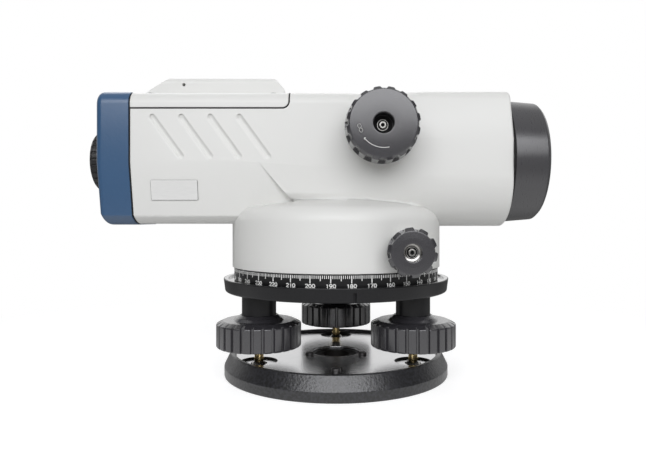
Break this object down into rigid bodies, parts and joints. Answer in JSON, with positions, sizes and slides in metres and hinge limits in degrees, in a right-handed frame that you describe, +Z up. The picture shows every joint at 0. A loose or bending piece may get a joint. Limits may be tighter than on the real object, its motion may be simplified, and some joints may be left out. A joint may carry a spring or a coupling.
{
  "type": "automatic optical level",
  "caption": "Surveyor's automatic level: telescope with focusing, dioptre and endless fine drives on a drum with a graduated circle, over a levelling base with ribbed foot screws.",
  "frame": {"origin": "on the vertical axis at the underside of the base plate, at the tripod thread's mouth", "axes": "+Z up along the vertical axis, +X towards the objective, the focusing knob on the -Y side"},
  "size_m": [0.2166, 0.1188, 0.1443],
  "materials": {
    "grey_paint": "satin",
    "blue_paint": "satin",
    "crinkle_paint": "matte",
    "spring_steel": "gloss",
    "knob_plastic": "matte",
    "eye_rubber": "matte",
    "dark_anodised": "satin",
    "black_inside": "matte",
    "seal_rubber": "matte",
    "brass": "satin",
    "steel": "satin",
    "circle_black": "satin",
    "label_foil": "satin",
    "coated_glass": "gloss",
    "clear_glass": "gloss",
    "level_liquid": "gloss",
    "mirror_silver": "polished"
  },
  "bodies": {
    "base": {"base_plate": "crinkle_paint", "tripod_bush": "brass", "spring_plate": "spring_steel", "spring_plate_screws": "steel"},
    "left_ball": {"foot_ball_left": "steel"},
    "tribrach": {"upper_plate": "crinkle_paint", "foot_bushes": "brass", "axis_sleeve": "brass", "clutch_nut": "steel"},
    "left_screw": {"foot_spindle_left": "brass", "foot_knob_left": "knob_plastic"},
    "right_ball": {"foot_ball_right": "steel"},
    "right_screw": {"foot_spindle_right": "brass", "foot_knob_right": "knob_plastic"},
    "rear_ball": {"foot_ball_rear": "steel"},
    "rear_screw": {"foot_spindle_rear": "brass", "foot_knob_rear": "knob_plastic"},
    "circle": {"horizontal_circle": "circle_black"},
    "clutch_wheel": {"worm_wheel": "brass"},
    "tangent": {"tangent_shaft": "steel", "tangent_knob_near": "knob_plastic", "tangent_knob_far": "knob_plastic", "tangent_knob_screws": "steel"},
    "focus_drive": {"focus_shaft": "steel", "focus_knob": "knob_plastic", "focus_knob_screw": "steel"},
    "focus_slider": {"focus_cell": "black_inside", "focus_lens": "clear_glass"},
    "dioptre": {"dioptre_ring": "eye_rubber"},
    "eyepiece": {"eyepiece_tube": "black_inside", "eyepiece_lenses": "coated_glass"},
    "pendulum": {"pendulum": "brass", "pendulum_prism": "clear_glass", "suspension_wires": "steel"},
    "mirror": {"mirror_arm": "knob_plastic", "bubble_mirror": "mirror_silver"},
    "alidade": {"axis_nut": "steel", "axis_spindle": "steel", "compensator_frame": "black_inside", "compensator_prisms": "clear_glass", "cover_gasket": "seal_rubber", "cover_screws": "steel", "damper_cup": "brass", "eyepiece_holder": "black_inside", "focus_bush": "brass", "focus_guide": "black_inside", "label_plate": "label_foil", "level_cup": "dark_anodised", "level_screws": "steel", "level_vial": "level_liquid", "main_housing": "grey_paint", "objective_cell": "black_inside", "objective_hood": "dark_anodised", "objective_lenses": "coated_glass", "rear_cover": "blue_paint", "rear_gasket": "seal_rubber", "reticle_cell": "brass", "reticle_glass": "clear_glass", "tangent_bushes": "brass", "top_cover": "grey_paint"}
  },
  "joints": [
    {"name": "tilt_fore_aft", "type": "hinge", "parent": "base", "child": "left_ball", "pos_m": [0, -0.02075, 0.006], "axis": [1, 0, 0], "range_deg": [-2, 2]},
    {"name": "tilt_sideways", "type": "hinge", "parent": "left_ball", "child": "tribrach", "pos_m": [-0.03594, -0.02075, 0.006], "axis": [0.5, 0.866, 0], "range_deg": [-2, 2]},
    {"name": "left_screw_turn", "type": "hinge", "parent": "tribrach", "child": "left_screw", "pos_m": [-0.03594, -0.02075, 0.006], "axis": [0, 0, 1], "continuous": true},
    {"name": "right_ball_slide", "type": "slide", "parent": "tribrach", "child": "right_ball", "axis": [0, 0, 1], "range_m": [-0.0022, 0.0022]},
    {"name": "right_screw_turn", "type": "hinge", "parent": "right_ball", "child": "right_screw", "pos_m": [0.03594, -0.02075, 0.006], "axis": [0, 0, 1], "range_deg": [-785, 785]},
    {"name": "rear_ball_slide", "type": "slide", "parent": "tribrach", "child": "rear_ball", "axis": [0, 0, 1], "range_m": [-0.0022, 0.0022]},
    {"name": "rear_screw_turn", "type": "hinge", "parent": "rear_ball", "child": "rear_screw", "pos_m": [0, 0.0415, 0.006], "axis": [0, 0, 1], "range_deg": [-785, 785]},
    {"name": "circle_turn", "type": "hinge", "parent": "tribrach", "child": "circle", "pos_m": [0, 0, 0.0494], "axis": [0, 0, 1], "continuous": true},
    {"name": "coarse_turn", "type": "hinge", "parent": "tribrach", "child": "clutch_wheel", "pos_m": [0, 0, 0.0619], "axis": [0, 0, 1], "continuous": true},
    {"name": "fine_turn", "type": "hinge", "parent": "clutch_wheel", "child": "alidade", "pos_m": [0, 0, 0.0619], "axis": [0, 0, 1], "continuous": true},
    {"name": "tangent_turn", "type": "hinge", "parent": "alidade", "child": "tangent", "pos_m": [0.0312, 0, 0.0619], "axis": [0, 1, 0], "continuous": true},
    {"name": "focus_turn", "type": "hinge", "parent": "alidade", "child": "focus_drive", "pos_m": [0.0202, -0.035, 0.11635], "axis": [0, -1, 0], "range_deg": [-206.2, 206.2]},
    {"name": "focus_slide", "type": "slide", "parent": "alidade", "child": "focus_slider", "axis": [1, 0, 0], "range_m": [-0.009, 0.009]},
    {"name": "dioptre_turn", "type": "hinge", "parent": "alidade", "child": "dioptre", "pos_m": [-0.114, 0, 0.10435], "axis": [1, 0, 0], "range_deg": [-150, 150]},
    {"name": "eyepiece_slide", "type": "slide", "parent": "alidade", "child": "eyepiece", "axis": [1, 0, 0], "range_m": [-0.002, 0.002]},
    {"name": "pendulum_swing", "type": "hinge", "parent": "alidade", "child": "pendulum", "pos_m": [-0.05, 0, 0.11725], "axis": [0, 1, 0], "range_deg": [-0.4, 0.4]},
    {"name": "mirror_tilt", "type": "hinge", "parent": "alidade", "child": "mirror", "pos_m": [-0.005, 0.041, 0.0993], "axis": [0, 1, 0], "range_deg": [-45, 45]}
  ],
  "couplings": [
    {"joint": "right_ball_slide", "follows": "tilt_sideways", "m_per_rad": 0.06225},
    {"joint": "right_screw_turn", "follows": "tilt_sideways", "ratio": 391.13},
    {"joint": "rear_ball_slide", "follows": "tilt_fore_aft", "m_per_rad": -0.06225},
    {"joint": "rear_screw_turn", "follows": "tilt_fore_aft", "ratio": -391.13},
    {"joint": "tangent_turn", "follows": "fine_turn", "ratio": 52},
    {"joint": "focus_turn", "follows": "focus_slide", "rad_per_m": 400},
    {"joint": "dioptre_turn", "follows": "eyepiece_slide", "rad_per_m": 1309}
  ]
}
